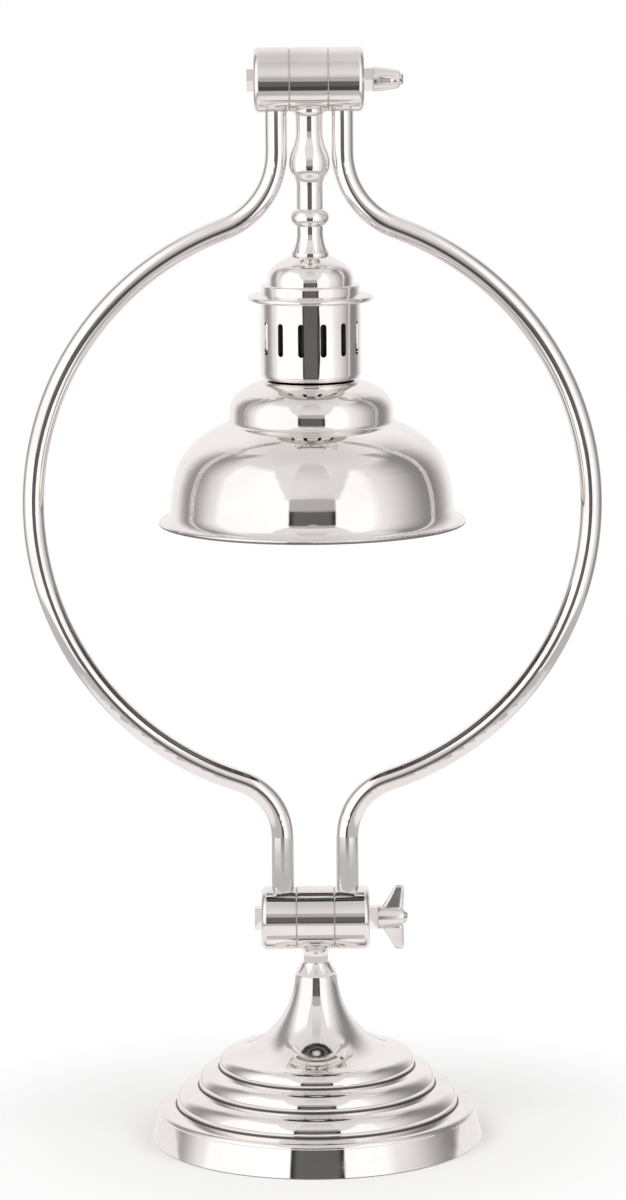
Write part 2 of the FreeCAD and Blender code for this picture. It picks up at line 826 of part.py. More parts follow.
holder_thread_radius = s.holder_bore + s.holder_wall
holder_radius = holder_thread_radius + s.holder_shoulder
holder_cap_radius = holder_radius + s.holder_cap_gap + s.cap_wall
holder_cap_top = cap_top - s.holder_cap_drop
holder_cap_shoulder = holder_cap_top - s.holder_cap_height
holder_cap_low = holder_cap_shoulder - s.holder_cap_skirt
holder_top = holder_cap_shoulder - s.holder_top_gap
holder_low = shade_top - s.holder_reach
holder_bore_top = holder_low + s.holder_bore_depth
contact_low = holder_bore_top - s.contact_thickness
screw_shell_radius = s.holder_bore - s.screw_shell_gap
cap_dome_radius = holder_cap_radius + s.holder_cap_gap + s.cap_wall
cap_step_radius = cap_dome_radius + s.cap_step_width
vent_radius = cap_step_radius + s.vent_margin
shade_hole_radius = holder_thread_radius + s.shade_hole_gap


def build_stem():
    """The turned stem, from its foot on the cap to the hinge's boss."""
    waist = s.stem_waist_radius
    neck = s.stem_neck_radius
    swell_out = (neck + s.swell_radius) / 2
    swell_in = (s.upper_boss_radius + s.swell_radius) / 2
    bore = s.lead_radius + s.stem_bore_clearance
    nipple_top = cap_top + s.nipple_rise
    thread_top = nipple_top + s.nipple_end_gap
    turned("stem", [
        (rod_thread, cap_top), (s.stem_foot_radius, cap_top), (s.stem_foot_radius, foot_high),
        (waist, waist_low, -s.stem_foot_bend), (waist, bead_low),
        (waist, bead_high, s.bead_length / 2 + s.bead_relief), (neck, neck_low), (neck, swell_low),
        (swell_out, (swell_low + swell_middle) / 2, SMOOTH), (s.swell_radius, swell_middle, SMOOTH),
        (swell_in, (swell_middle + swell_high) / 2, SMOOTH), (s.upper_boss_radius, swell_high, SMOOTH),
        (s.upper_boss_radius, stem_top), (bore, stem_top), (bore, thread_top), (rod_thread, thread_top)],
        height=upper_axis)
    turned("stem_nipple", box_outline(rod_bore, rod_radius, cap_top - s.nipple_drop, nipple_top),
           height=upper_axis)
    build_hex_nut("stem_locknut", cap_top - s.cap_wall - s.nut_thickness, rod_thread, upper_axis)
    lead_top = -(barrel_cavity + s.lead_end_gap)
    turned("head_lead", box_outline(0, s.lead_radius, holder_top + s.lead_hub_gap, lead_top),
           height=upper_axis)


def bead(radius, height, size):
    """A rolled edge in section."""
    return [(radius + size, height, size), (radius, height + size, size),
            (radius - size, height, size), (radius, height - size, size)]


def build_cap():
    """The spun cap: dome, step and brim with a rolled edge."""
    body = new_body("cap_dome", upper_axis)
    rounding = s.cap_step_round
    brim = vent_radius + s.brim_reach
    outside = [(brim, brim_low), (cap_step_radius, brim_high), (cap_step_radius, cap_foot - rounding),
               (cap_step_radius - rounding, cap_foot, rounding), (cap_dome_radius, cap_foot),
               (cap_dome_radius, cap_dome_low), (cap_dome_radius - s.cap_mid_inset, cap_mid, SMOOTH),
               (s.cap_flat_radius, cap_top, SMOOTH), (rod_hole, cap_top)]
    spin(body, [skin(outside, s.cap_wall)])
    spin(body, [bead(brim, brim_low - s.cap_wall / 2, s.brim_bead)])


def build_vent_collar():
    """The collar, its floor held between the lampholder and the shade, its slots cut round it."""
    body = new_body("vent_collar", upper_axis)
    floor = shade_top + s.vent_seat_gap
    top = brim_high - s.cap_wall - s.vent_top_gap
    rounding = s.vent_round
    spin(body, [skin([(shade_hole_radius, floor), (vent_radius - rounding, floor),
                      (vent_radius, floor + rounding, rounding), (vent_radius, top)], s.vent_wall)])
    half = s.slot_width / 2
    high = brim_high - s.slot_drop
    low = high - s.slot_length
    slot = extrude(body, [(-half, low + half), (0, low, half), (half, low + half, half),
                          (half, high - half), (0, high, half), (-half, high - half, half)],
                   vent_radius + s.cut_margin, kind="PartDesign::Pocket")
    repeat(body, slot, s.slot_count)
    body.setExpression("Placement.Rotation.Angle", s.slot_turn.text)


def build_shade():
    """The spun shade: a small dome, a short waist, then a bell that widens to its rolled lip."""
    body = new_body("shade", upper_axis)
    radius = shade_hole_radius
    height = shade_top
    profile = [(radius, height)]
    for width, drop in ((s.dome_top_width, s.dome_top_drop), (s.dome_side_width, s.dome_side_drop),
                        (s.dome_foot_width, s.dome_foot_drop), (0, s.waist_height),
                        (s.waist_round_width, s.waist_round_drop),
                        (s.bowl_top_width, s.bowl_top_drop), (s.bowl_side_width, s.bowl_side_drop),
                        (s.wall_top_width, s.wall_top_drop), (s.wall_foot_width, s.wall_foot_drop),
                        (s.lip_width, s.lip_drop)):
        radius = radius + width
        height = height - drop
        profile.append((radius, height))
    hole, dome_top, dome_side, waist_top, *bell, wall_foot, lip = profile
    outside = [lip, wall_foot + (-s.lip_bend,)] + [corner + (SMOOTH,) for corner in reversed(bell)]
    outside += [waist_top] + [corner + (SMOOTH,) for corner in (dome_side, dome_top, hole)]
    spin(body, [skin(outside, s.shade_wall)])
    spin(body, [bead(lip[0], lip[1] - s.shade_wall / 2, s.rim_bead)])


def build_lampholder():
    """Cap, body, screw shell and contact, and the ring that clamps the shade."""
    turned("lampholder_cap", skin([
        (holder_cap_radius, holder_cap_low), (holder_cap_radius, holder_cap_shoulder),
        (s.holder_cap_flat, holder_cap_top, SMOOTH), (rod_thread, holder_cap_top)], s.cap_wall),
        height=upper_axis)
    shoulder = shade_top + s.vent_seat_gap + s.vent_wall
    skirt = holder_cap_low - s.holder_cap_gap
    turned("lampholder_body", [
        (s.holder_hole, holder_top), (s.holder_hole, holder_bore_top),
        (s.holder_bore, holder_bore_top), (s.holder_bore, holder_low),
        (holder_thread_radius, holder_low), (holder_thread_radius, shoulder),
        (holder_cap_radius, shoulder), (holder_cap_radius, skirt), (holder_radius, skirt),
        (holder_radius, holder_top)], height=upper_axis)
    turned("screw_shell", box_outline(screw_shell_radius - s.screw_shell_wall, screw_shell_radius,
                                      holder_low + s.screw_shell_recess, holder_bore_top),
           height=upper_axis)
    turned("holder_contact", box_outline(0, s.contact_radius, contact_low, holder_bore_top),
           height=upper_axis)
    terminals = new_body("terminal_screws", upper_axis)
    screw = spin(terminals, [box_outline(0, s.terminal_radius, holder_top, holder_top + s.terminal_height)],
                 x=s.terminal_offset)
    repeat(terminals, screw, s.terminal_count)
    under = shade_top - s.shade_wall - s.shade_ring_gap
    turned("shade_ring", box_outline(holder_thread_radius + s.thread_clearance,
                                     holder_thread_radius + s.shade_ring_width,
                                     under - s.shade_ring_height, under), height=upper_axis)


def build_bulb():
    """A round bulb: glass, brass cap, glass insulator and contact."""
    tip = contact_low - s.bulb_tip_gap
    tip_low = tip - s.bulb_tip_thickness
    insulator_low = tip_low - s.bulb_insulator_height
    cap_high = insulator_low - s.bulb_cap_cone
    cap_low = cap_high - s.bulb_cap_length
    low = cap_low - s.bulb_length
    cap = screw_shell_radius - s.screw_shell_wall - s.bulb_cap_gap
    neck = cap - s.bulb_cap_wall - s.bulb_neck_gap
    centre = low + s.bulb_radius
    shoulder = s.bulb_shoulder_radius
    rise = (s.bulb_radius * s.bulb_radius - shoulder * shoulder).root()
    neck_low = centre + rise + (shoulder - neck) * rise / (s.bulb_radius - shoulder)
    turned("bulb_glass", skin([
        (0, low), (s.bulb_radius, centre, s.bulb_radius), (shoulder, centre + rise, SMOOTH),
        (neck, neck_low, SMOOTH), (neck, cap_low + s.bulb_neck_insert)], s.bulb_wall),
        height=upper_axis)
    insulator = s.bulb_insulator_radius
    turned("bulb_cap", skin([(cap, cap_low), (cap, cap_high), (insulator, insulator_low)],
                            s.bulb_cap_wall), height=upper_axis)
    radius = s.bulb_tip_radius
    turned("bulb_insulator", [(0, insulator_low), (insulator, insulator_low), (radius, tip_low),
                              (0, tip_low)], height=upper_axis)
    edge = s.bulb_tip_thickness
    turned("bulb_contact", [(0, tip_low), (radius, tip_low), (radius - edge, tip, edge), (0, tip)],
           height=upper_axis)


build_base()
build_bush()
build_base_lead()
build_centre_knuckle("lower_centre_knuckle", lower_axis, s.lower_boss_length, s.lower_boss_radius, rod_thread)
build_hinge("lower", lower_axis, 1)
build_wing_nut("lower_wing_nut", lower_axis, "XZ_Plane")
build_ring()
build_hinge("upper", upper_axis, -1)
build_wing_nut("upper_wing_nut", upper_axis, "XY_Plane")
build_centre_knuckle("upper_centre_knuckle", upper_axis, s.upper_boss_length, s.upper_boss_radius, rod_bore)
build_stem()
build_cap()
build_vent_collar()
build_shade()
build_lampholder()
build_bulb()

doc.recompute()
for item in doc.Objects:
    if "Invalid" in item.State or "Error" in item.State:
        raise RuntimeError("%s (%s) failed: %s" % (item.Name, item.TypeId, item.State))

os.makedirs("parts", exist_ok=True)
for body in doc.Objects:
    if body.TypeId != "PartDesign::Body":
        continue
    shape = body.Shape
    if shape.isNull() or not shape.isValid() or not shape.Solids:
        raise RuntimeError("%s has no valid solid" % body.Label)
    shape.exportStep("parts/%s.step" % body.Label)
    box = shape.BoundBox
    print("%-24s %d solid  %9.1f mm3  x %.1f..%.1f  y %.1f..%.1f  z %.1f..%.1f" % (
        body.Label, len(shape.Solids), shape.Volume, box.XMin, box.XMax,
        box.YMin, box.YMax, box.ZMin, box.ZMax))
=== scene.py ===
# %% [markdown]
# # A polished table lamp with a tilting ring and a tilting shade
# The lamp stands on a stepped round base. A ring of two bent tubes tilts on the base, and a
# bell shade tilts inside the ring. Both hinges are three barrel sections on one bolt, which a
# wing nut clamps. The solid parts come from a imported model, in metres, with the origin under
# the middle of the base, +Z up and the lamp's front towards -Y. This lesson dresses them: it
# gives each part its finish, models the two cast wing nuts, and sets up a small studio.
# Everything solid keeps its place, so nothing is fitted by eye.

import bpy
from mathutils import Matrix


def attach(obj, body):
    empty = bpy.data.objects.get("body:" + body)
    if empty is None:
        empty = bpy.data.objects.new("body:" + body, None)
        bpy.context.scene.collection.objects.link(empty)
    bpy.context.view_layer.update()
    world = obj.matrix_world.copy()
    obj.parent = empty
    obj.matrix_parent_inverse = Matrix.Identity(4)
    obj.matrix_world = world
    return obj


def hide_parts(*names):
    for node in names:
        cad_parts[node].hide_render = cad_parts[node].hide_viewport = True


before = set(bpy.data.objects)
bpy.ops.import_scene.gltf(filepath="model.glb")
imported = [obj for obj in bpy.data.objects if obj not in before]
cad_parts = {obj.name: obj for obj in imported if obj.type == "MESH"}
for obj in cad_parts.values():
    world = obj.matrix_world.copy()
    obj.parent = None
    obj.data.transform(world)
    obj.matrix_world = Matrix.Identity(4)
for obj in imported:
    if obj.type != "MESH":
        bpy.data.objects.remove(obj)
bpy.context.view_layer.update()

# %% Bring in the tools
import math

import bmesh
import bpy
from mathutils import Matrix, Vector

scene = bpy.context.scene

# %% [markdown]
# ## The camera
# The camera looks at the lamp from the front and a little above, from far enough away that
# the ring stays nearly round. A long lens does that: the view is flat, yet the steps of the
# base still show their tops. The tilt is small, and the roll is under half a degree, as when
# a tripod isn't quite level. An empty target with a Track To constraint could aim the camera
# too, but three plain angles say more exactly where it looks.

# %% Set up the camera
LENS_MM = 143.1
CAMERA_PLACE = Vector((0.0, -2.355, 0.6507))
CAMERA_DOWN = math.radians(9.05)
CAMERA_ROLL = math.radians(0.47)


def make_camera():
    data = bpy.data.cameras.new("front_camera")
    data.lens = LENS_MM
    data.sensor_width = 36.0
    data.clip_start, data.clip_end = 0.05, 60.0
    camera = bpy.data.objects.new("front_camera", data)
    scene.collection.objects.link(camera)
    level = math.pi / 2 - CAMERA_DOWN
    camera.matrix_world = (Matrix.Translation(CAMERA_PLACE) @ Matrix.Rotation(level, 4, "X")
                           @ Matrix.Rotation(-CAMERA_ROLL, 4, "Z"))
    scene.camera = camera
    return camera


camera = make_camera()
print("camera at", tuple(round(v, 3) for v in camera.matrix_world.translation))

# %% [markdown]
# ## Writing shader maths as plain sums
# A procedural finish is a network of small nodes. Adding each Math node by hand hides the
# idea behind it, so a small class wraps a socket: a sum of two wrapped sockets adds the Math
# node by itself and hands back the node's output. Every other kind of node comes from one
# method, which takes the node's type, its settings and what goes into its sockets.

# %% Wrap a socket so that sums make Math nodes
class Term:
    """A number that varies over a surface. Sums and products of terms add Math nodes."""

    def __init__(self, net, socket):
        self.net, self.socket = net, socket

    def maths(self, operation, first, second):
        return self.net.node("ShaderNodeMath", {"operation": operation}, {0: first, 1: second})

    def __add__(self, other):
        return self.maths("ADD", self, other)

    def __sub__(self, other):
        return self.maths("SUBTRACT", self, other)

    def __rsub__(self, other):
        return self.maths("SUBTRACT", other, self)

    def __mul__(self, other):
        return self.maths("MULTIPLY", self, other)

    def __truediv__(self, other):
        return self.maths("DIVIDE", self, other)

    __radd__, __rmul__ = __add__, __mul__


class Net:
    """The nodes of one material or of the world."""

    def __init__(self, tree):
        self.tree = tree
        tree.nodes.clear()

    def node(self, kind, settings=(), inputs=(), output=0):
        made = self.tree.nodes.new(kind)
        for name, value in dict(settings).items():
            if name == "stops":
                self.fill_ramp(made.color_ramp, value)
            else:
                setattr(made, name, value)
        for name, value in dict(inputs).items():
            if isinstance(value, Term):
                self.tree.links.new(value.socket, made.inputs[name])
            else:
                made.inputs[name].default_value = value
        return Term(self, made.outputs[output]) if made.outputs else None

    def split(self, vector):
        """The three numbers of a vector, each as its own term."""
        made = self.node("ShaderNodeSeparateXYZ", {}, {"Vector": vector}).socket.node
        return [Term(self, socket) for socket in made.outputs]

    def ray_is(self, kind):
        """1 where the ray that sees the surface is of this kind: Camera, Glossy and so on."""
        return self.node("ShaderNodeLightPath", output="Is %s Ray" % kind)

    @staticmethod
    def fill_ramp(ramp, stops):
        while len(ramp.elements) < len(stops):
            ramp.elements.new(1.0)
        for element, (place, colour) in zip(ramp.elements, stops):
            element.position = place
            element.color = (*colour, 1.0)


print("Term and Net are ready")

# %% [markdown]
# Some recipes come back in nearly every finish: soft steps between two values, noise at a
# chosen grain size, a mix of two colours, and a bump. Each one is a method or a helper here,
# in real units: a grain of 0.002 is two millimetres.

# %% Helpers for masks, noise, colour and bump
def soft_step(value, low, high):
    """0 below low, 1 above high, and a smooth rise between them."""
    return value.net.node("ShaderNodeMapRange", {"interpolation_type": "SMOOTHSTEP"},
                          {"Value": value, "From Min": low, "From Max": high})


def place_on_part(net, stretch=(1.0, 1.0, 1.0)):
    """Where a point lies on its part, in metres, stretched along each axis."""
    place = net.node("ShaderNodeTexCoord", output="Object")
    return net.node("ShaderNodeMapping", {}, {"Vector": place, "Scale": stretch})


def grain(net, place, size, detail=2.0, kind="Fac"):
    """Noise whose blobs are about size metres across."""
    return net.node("ShaderNodeTexNoise", {}, {"Vector": place, "Scale": 1.0 / size, "Detail": detail},
                    output=kind)


def blend_colours(net, factor, first, second):
    """Colour from first to second as factor goes from 0 to 1."""
    def full(colour):
        return colour if isinstance(colour, Term) else (*colour, 1.0)
    return net.node("ShaderNodeMix", {"data_type": "RGBA"},
                    {0: factor, 6: full(first), 7: full(second)}, output=2)


def bump(net, height, depth, strength=1.0):
    """Small relief: height from 0 to 1 stands for a depth in metres."""
    return net.node("ShaderNodeBump", {}, {"Height": height, "Distance": depth, "Strength": strength})


def new_piece(name, mesh):
    """Turn a bmesh into an object at the origin, its place kept in the mesh."""
    data = bpy.data.meshes.new(name)
    mesh.to_mesh(data)
    mesh.free()
    piece = bpy.data.objects.new(name, data)
    scene.collection.objects.link(piece)
    return piece


def new_material(name):
    material = bpy.data.materials.new(name)
    material.use_nodes = True
    return material, Net(material.node_tree)


def finish_material(net, **sockets):
    """End a net with one Principled shader; underscores in the names stand for spaces."""
    inputs = {name.replace("_", " "): value for name, value in sockets.items()}
    inputs = {name: (*value, 1.0) if isinstance(value, tuple) and len(value) == 3 else value
              for name, value in inputs.items()}
    shader = net.node("ShaderNodeBsdfPrincipled", {}, inputs)
    net.node("ShaderNodeOutputMaterial", {}, {"Surface": shader})
    return shader


print("helpers ready")

# %% [markdown]
# ## The studio
# Polished metal has almost no look of its own: it shows what stands round it. A lamp like
# this is photographed in a white tent, with a lit panel on each side of the camera, grey
# where the panels end, and a dark doorway in front where the camera looks in. Here the tent is
# the world's colour, worked out from the direction of each ray, and only reflections see it:
# everything else gets plain white light. The tent is built up like paint, from back to front:
# each layer is a mask of compass angles and heights, and a tone.

# %% Describe the tent by compass angle and height
DEGREES = 57.29578
# Half the gap between the panels, the panels' far ends and their top, in degrees
CAMERA_GAP, GAP_BLUR = 18.5, 1.5
LEFT_PANEL_END = (-88.0, -80.0)
RIGHT_PANEL_END = (60.0, 46.0)
PANEL_TOP, TOP_BLUR = 52.0, 6.0
# Beside the gap the panels' top slopes up, by this much for each degree aside
PANEL_SLOPE = 1.7
SLOPE_START = (15.0, 7.0)
PANEL_LIGHT = (1.18, 1.17, 1.16)
# Grey cloth hangs on each side: where it begins, is full, starts to end and ends, and its tone
LEFT_GREY = (-84.0, -116.0, -122.0, -146.0, 0.36)
RIGHT_GREY = (52.0, 112.0, 118.0, 160.0, 0.28)
WALL_TONE = 0.97
# Above the doorway: the tone at the floor, at a quarter of the way up, and overhead
FRONT_TONES = (0.50, 0.85, 0.60)


def warm(tone):
    """A grey with the faint pink of the photographer's cloth."""
    return (tone, tone * 0.962, tone * 0.962)


def band(value, low, high, blur):
    """1 between low and high, 0 outside, with edges blur wide."""
    rise = soft_step(value, low - blur / 2, low + blur / 2)
    return rise * soft_step(value, high + blur / 2, high - blur / 2)


def compass(net, x, y):
    """Degrees to the right of the front, negative on the left."""
    return net.node("ShaderNodeMath", {"operation": "ARCTAN2"}, {0: x, 1: 0.0 - y}) * DEGREES


def wall_of(net, turn):
    """The tent's wall at each compass angle: the grey cloths and the two lit panels."""
    left = (soft_step(turn, *LEFT_PANEL_END)
            * soft_step(turn, GAP_BLUR - CAMERA_GAP, -GAP_BLUR - CAMERA_GAP))
    right = (soft_step(turn, CAMERA_GAP - GAP_BLUR, CAMERA_GAP + GAP_BLUR)
             * soft_step(turn, *RIGHT_PANEL_END))
    tone = warm(WALL_TONE)
    for begins, full, ending, ends, grey in (LEFT_GREY, RIGHT_GREY):
        cloth = soft_step(turn, begins, full) * soft_step(turn, ends, ending)
        tone = blend_colours(net, cloth, tone, warm(grey))
    return blend_colours(net, left + right, tone, PANEL_LIGHT)


def make_tent():
    """The world: white for light and camera rays, the tent for reflections."""
    world = bpy.data.worlds.new("white_tent")
    world.use_nodes = True
    scene.world = world
    net = Net(world.node_tree)
    x, y, z = net.split(net.node("ShaderNodeTexCoord", output="Generated"))
    turn = compass(net, x, y)
    aside = net.node("ShaderNodeMath", {"operation": "ABSOLUTE"}, {0: turn})
    lift = net.node("ShaderNodeMath", {"operation": "ARCSINE"}, {0: z}) * DEGREES
    below_top = soft_step(lift, PANEL_TOP + TOP_BLUR, PANEL_TOP - TOP_BLUR)
    slope_start = [start - CAMERA_GAP * PANEL_SLOPE for start in SLOPE_START]
    under_slope = soft_step(lift - aside * PANEL_SLOPE, *slope_start)
    front = soft_step(aside, CAMERA_GAP + 0.8, CAMERA_GAP - 0.8)
    low, middle, overhead = (warm(tone) for tone in FRONT_TONES)
    above_door = blend_colours(net, soft_step(lift, 0.0, 25.0), low, middle)
    above_door = blend_colours(net, soft_step(lift, 25.0, 80.0), above_door, overhead)
    tone = blend_colours(net, soft_step(lift, 55.0, 88.0), warm(0.85), warm(0.72))
    for mask, paint in (
            (soft_step(aside, 122.0, 128.0) * soft_step(lift, 75.0, 20.0), warm(0.94)),
            (band(aside, 107.0, 117.0, 6.0) * soft_step(lift, 72.0, 58.0) * 0.85, warm(0.34)),
            (below_top * under_slope, wall_of(net, turn)),
            (front * soft_step(lift, 80.0, 62.0), above_door)):
        tone = blend_colours(net, mask, tone, paint)
    seen = blend_colours(net, net.ray_is("Camera"), (0.70, 0.695, 0.69), (1.0, 1.0, 1.0))
    colour = blend_colours(net, net.ray_is("Glossy"), seen, tone)
    background = net.node("ShaderNodeBackground", {}, {"Color": colour, "Strength": 1.0})
    net.node("ShaderNodeOutputWorld", {}, {"Surface": background})


make_tent()
print("tent: panels reach %.0f degrees up, doorway %.0f degrees wide" % (PANEL_TOP, 2 * CAMERA_GAP))

# %% [markdown]
# The floor is one disc. Near the lamp it is pale paper in plain light, so it holds a faint
# shadow; further out the camera sees it turn white, so the floor has no edge. In reflections
# the paper greys towards its edge, and beyond that the disc carries on the tent's wall and
# the dark doorway. The doorway itself is a card, because it is near enough to shift between
# the base and the shade as a real one does: the base sees the dark up to 16 degrees high and
# the shade only to 5. Above the dark it is grey. Nothing but reflections sees the card.

# %% Lay the floor
FLOOR_RADIUS = 4.0
SHADOW_RADIUS = 0.11
WHITE_RADIUS = 0.24
# How far from the middle the paper turns grey in reflections, and where it ends
PAPER_GREYS = (0.32, 0.44)
PAPER_END = (0.66, 0.80)


def make_floor():
    mesh = bmesh.new()
    bmesh.ops.create_circle(mesh, cap_ends=True, segments=96, radius=FLOOR_RADIUS)
    floor = new_piece("floor", mesh)
    material, net = new_material("pale_paper")
    place = place_on_part(net)
    away = net.node("ShaderNodeVectorMath", {"operation": "LENGTH"}, {0: place}, output=1)
    x, y, _ = net.split(place)
    turn = compass(net, x, y)
    aside = net.node("ShaderNodeMath", {"operation": "ABSOLUTE"}, {0: turn})
    strands = grain(net, place, 0.0015, 3.0)
    paper = blend_colours(net, strands, (0.95, 0.95, 0.95), (0.98, 0.98, 0.98))
    relief = bump(net, strands, 0.00004)
    diffuse = net.node("ShaderNodeBsdfDiffuse", {}, {"Color": paper, "Normal": relief})
    white = net.node("ShaderNodeEmission", {}, {"Color": (1.0, 1.0, 1.0, 1.0)})
    far = net.ray_is("Camera") * soft_step(away, SHADOW_RADIUS, WHITE_RADIUS)
    seen = net.node("ShaderNodeMixShader", {}, {0: far, 1: diffuse, 2: white})
    doorway = blend_colours(net, soft_step(aside, CAMERA_GAP + 1.0, CAMERA_GAP - 1.0),
                            wall_of(net, turn), warm(0.07))
    tone = blend_colours(net, soft_step(away, *PAPER_GREYS), warm(0.94), warm(0.56))
    tone = blend_colours(net, soft_step(away, *PAPER_END), tone, doorway)
    mirrored = net.node("ShaderNodeEmission", {}, {"Color": tone})
    surface = net.node("ShaderNodeMixShader", {}, {0: net.ray_is("Glossy"), 1: seen, 2: mirrored})
    net.node("ShaderNodeOutputMaterial", {}, {"Surface": surface})
    floor.data.materials.append(material)


make_floor()
print("floor radius", FLOOR_RADIUS, "m, plain to", SHADOW_RADIUS, "m")

# %% Stand the doorway in front
DOOR_DISTANCE = 1.4
DOOR_HALF = 0.465
DOOR_HEIGHT = 0.80
DARK_HEIGHT = 0.45


def make_doorway():
    mesh = bmesh.new()
    bmesh.ops.create_grid(mesh, x_segments=1, y_segments=1, size=0.5)
    bmesh.ops.scale(mesh, vec=(2 * DOOR_HALF, DOOR_HEIGHT, 1.0), verts=mesh.verts)
    upright = Matrix.Rotation(math.pi / 2, 4, "X")
    bmesh.ops.transform(mesh, matrix=upright, verts=mesh.verts)
    bmesh.ops.translate(mesh, vec=(0.0, -DOOR_DISTANCE, DOOR_HEIGHT / 2), verts=mesh.verts)
    card = new_piece("doorway", mesh)
    material, net = new_material("dark_doorway")
    x, _, z = net.split(place_on_part(net))
    aside = net.node("ShaderNodeMath", {"operation": "ABSOLUTE"}, {0: x})
    at_sides = soft_step(aside, DOOR_HALF * 0.70, DOOR_HALF * 0.97)
    above_dark = soft_step(z, DARK_HEIGHT - 0.02, DARK_HEIGHT + 0.03)
    tone = blend_colours(net, at_sides, warm(0.14), warm(0.025))
    tone = blend_colours(net, above_dark, tone, warm(0.50))
    emission = net.node("ShaderNodeEmission", {}, {"Color": tone})
    net.node("ShaderNodeOutputMaterial", {}, {"Surface": emission})
    card.data.materials.append(material)
    card.visible_camera = card.visible_diffuse = card.visible_transmission = False
    card.visible_shadow = False


make_doorway()
print("doorway %.2f m wide, %.1f m in front" % (2 * DOOR_HALF, DOOR_DISTANCE))

# %% [markdown]
# Two soft lamps shape the shadow and light what isn't metal: the bulb, the lampholder and the
# felt. Each is a wide square, above and to one side of the camera. They don't show in the
# metal, because the tent already has its panels there.

# %% Hang two soft lamps
def make_lamp(name, place, size, watts):
    data = bpy.data.lights.new(name, "AREA")
    data.shape = "SQUARE"
    data.size = size
    data.energy = watts
    lamp = bpy.data.objects.new(name, data)
    scene.collection.objects.link(lamp)
    aim = Vector((0.0, 0.0, 0.2)) - Vector(place)
    turned = aim.to_track_quat("-Z", "Y").to_matrix().to_4x4()
    lamp.matrix_world = Matrix.Translation(place) @ turned
    lamp.visible_glossy = False
    lamp.visible_camera = False
    return lamp


LAMP_SIZE = 1.4
for name, place, watts in (("left_lamp", (-1.3, -1.2, 1.9), 17.0),
                           ("right_lamp", (1.4, -0.9, 1.7), 11.0)):
    make_lamp(name, place, LAMP_SIZE, watts)
print("two lamps up")

# %% [markdown]
# ## Polished nickel
# Nickel plate over brass is a warm, faintly pink mirror. Spun parts keep very fine rings from
# the polishing mop round their axis, and the wall waves a little, so reflected edges aren't
# perfectly straight. Small smudges make the gloss uneven. An image of scratches would tile
# and blur; noise in real units doesn't. One function makes the finish in several versions,
# which differ in how the polishing marks run. On the shade, every surface that faces down is
# painted dark grey and made rougher; the dark grey is painted shade for the unlit inside.
# The corners at the feet of the base's steps get a thin dark line of painted shade, found by
# its distance from each corner's radius and height.

# %% Make the nickel
NICKEL_LIGHT = (0.900, 0.880, 0.865)
NICKEL_DEEP = (0.830, 0.800, 0.785)
# Painted shade: dark grey for the shade's surfaces that face down
PAINTED_UNDERSIDE_SHADE = (0.26, 0.245, 0.235)
# Painted shade: the thin dark line in the corners of the base's steps
PAINTED_CORNER_SHADE = (0.085, 0.070, 0.065)
# Radius and height of the corners at the feet of the base's steps, in millimetres
STEP_CORNERS = ((71.2, 17.6), (59.8, 27.3), (49.4, 36.7))
# Where the painted corner shade fades, as the square of the distance in millimetres
CORNER_SHADE_EDGE = (1.2, 0.1)


def near_corners(net, corners):
    """1 in the corners, 0 from 1.1 mm away."""
    x, y, height = net.split(place_on_part(net, (1000.0, 1000.0, 1000.0)))
    radius = net.node("ShaderNodeMath", {"operation": "SQRT"}, {0: x * x + y * y})
    mask = 0.0
    for corner_radius, corner_height in corners:
        across, up = radius - corner_radius, height - corner_height
        mask = soft_step(across * across + up * up, *CORNER_SHADE_EDGE) + mask
    return mask


def make_nickel(name, marks, wave_depth, gloss=0.035, paint_underside_shade=False, corners=()):
    """marks stretches the polishing marks: large numbers pack them tightly along that axis."""
    material, net = new_material(name)
    place = place_on_part(net)
    cloud = grain(net, place, 0.035, 3.0)
    smudge = soft_step(grain(net, place, 0.012, 4.0), 0.50, 0.72)
    fine = grain(net, place_on_part(net, marks), 0.02, 3.0)
    wave = grain(net, place, 0.022, 1.0)
    colour = blend_colours(net, soft_step(cloud, 0.35, 0.75), NICKEL_LIGHT, NICKEL_DEEP)
    rough = gloss + smudge * 0.05 + fine * 0.03
    if paint_underside_shade:
        # Painted shade: where the surface faces down, its colour turns dark grey and it grows rougher
        facing_up = net.split(net.node("ShaderNodeTexCoord", output="Normal"))[2]
        inside = soft_step(facing_up, -0.01, -0.08)
        colour = blend_colours(net, inside, colour, PAINTED_UNDERSIDE_SHADE)
        rough = rough + inside * 0.38
    if corners:
        # Painted shade: a thin dark line in the corners at the feet of the steps
        corner_shade = near_corners(net, corners)
        colour = blend_colours(net, corner_shade * 0.85, colour, PAINTED_CORNER_SHADE)
        rough = rough + corner_shade * 0.4
    relief = bump(net, fine, 0.000004)
    waved = net.node("ShaderNodeBump", {},
                     {"Height": wave, "Distance": wave_depth, "Normal": relief})
    finish_material(net, Base_Color=colour, Metallic=1.0, Roughness=rough, Normal=waved)
    return material


SPUN = (1.0, 1.0, 60.0)
TURNED_ACROSS = (60.0, 1.0, 1.0)
CAST = (4.0, 4.0, 4.0)
nickel_spun = make_nickel("nickel_spun", SPUN, 0.00006)
nickel_base = make_nickel("nickel_base", SPUN, 0.00006, corners=STEP_CORNERS)
nickel_shade = make_nickel("nickel_shade", SPUN, 0.00006, paint_underside_shade=True)
nickel_barrel = make_nickel("nickel_barrel", TURNED_ACROSS, 0.00003)
nickel_cast = make_nickel("nickel_cast", CAST, 0.00010, gloss=0.20)
nickel_tube = make_nickel("nickel_tube", (1.0, 1.0, 1.0), 0.00003)
print("six nickel finishes")

# %% [markdown]
# ## The quieter finishes
# The rest of the lamp shows only from below or through the slots: felt, black phenolic
# plastic, brass, the bulb's white glass, rubber, fibre, steel and iron. Each gets the grain
# that tells it apart: hairs in felt, flow lines in phenolic, turning marks in brass, sand in
# iron.

